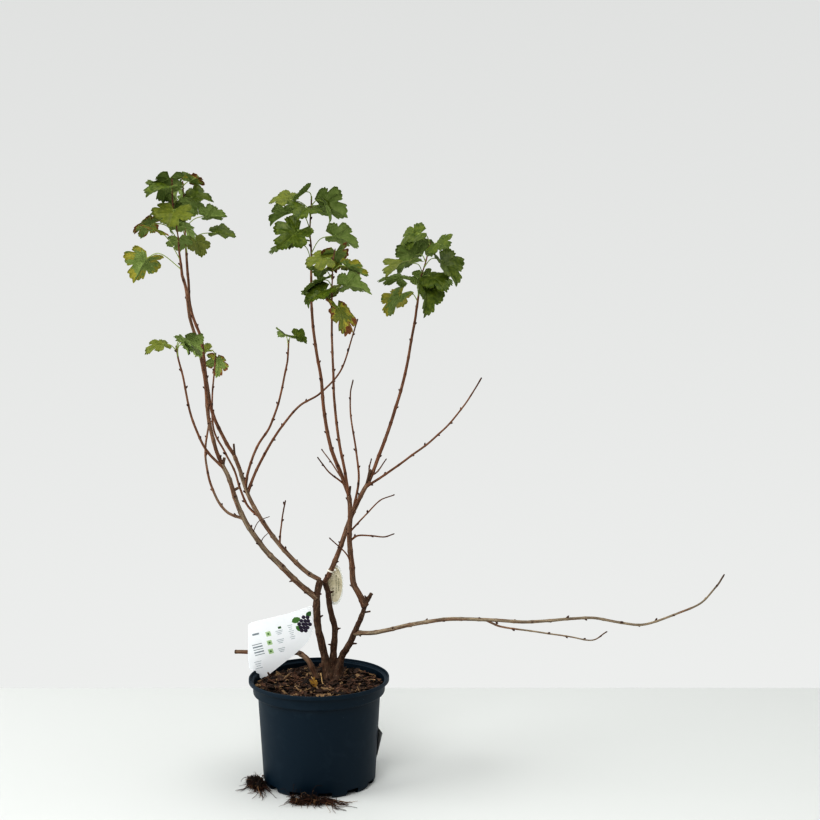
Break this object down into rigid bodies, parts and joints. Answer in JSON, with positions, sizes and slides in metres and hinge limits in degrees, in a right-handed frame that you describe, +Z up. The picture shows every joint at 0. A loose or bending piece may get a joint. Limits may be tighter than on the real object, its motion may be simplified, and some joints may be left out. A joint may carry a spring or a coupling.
{
  "type": "potted jostaberry bush",
  "caption": "Young berry bush with open, mostly bare branches and leafy tips, in a round nursery pot with a stepped rim, a blank label and a hang tag.",
  "frame": {"origin": "centre of the pot's flat underside, where it stands on the floor", "axes": "+Z up; the pictured side faces -Y; +X to the right in the picture, where the long low bough points"},
  "size_m": [0.8965, 0.2873, 0.9445],
  "materials": {
    "pot": "satin",
    "mix": "rough composted bark chips",
    "bark": "rough bark",
    "leaf": "soft satin leaf",
    "label": "printed, semi-gloss",
    "tag": "coated card",
    "thread": "matte",
    "sticker": "worn, matte",
    "roots": "matte, fibrous"
  },
  "bodies": {
    "root": {"pot": "pot", "potting_mix": "mix", "trunk": "bark", "stem_left": "bark", "stem_middle": "bark", "stem_right": "bark", "bough_centre": "bark", "bough_low": "bark", "twig_low": "bark", "bough_left_outer": "bark", "leader_left_outer": "bark", "shoot_left_outer": "bark", "shoot_left_far": "bark", "bough_left_inner": "bark", "leader_left_inner": "bark", "shoot_back": "bark", "shoot_inner": "bark", "shoot_long": "bark", "bough_right": "bark", "leader_right": "bark", "leader_centre": "bark", "leader_front": "bark", "shoot_middle": "bark", "shoot_right": "bark", "twig_centre_front": "bark", "twig_centre_back": "bark", "twig_side_upper": "bark", "twig_side_lower": "bark", "twig_crossing": "bark", "twig_upright": "bark", "twig_right_back": "bark", "twig_right_front": "bark", "low_cut_branch": "bark", "leaves_left_outer_low": "leaf", "leaves_left_outer_top": "leaf", "leaves_left_inner_low": "leaf", "leaves_left_inner_top": "leaf", "leaves_centre_low": "leaf", "leaves_centre_top": "leaf", "leaves_front_low": "leaf", "leaves_front_top": "leaf", "leaves_right_low": "leaf", "leaves_right_top": "leaf", "leaves_left_far": "leaf", "leaves_inner": "leaf", "leaves_back": "leaf", "plant_label": "label", "hang_tag": "tag", "tag_thread": "thread", "pot_sticker": "sticker", "root_tuft_left": "roots", "root_tuft_front": "roots"}
  },
  "joints": []
}
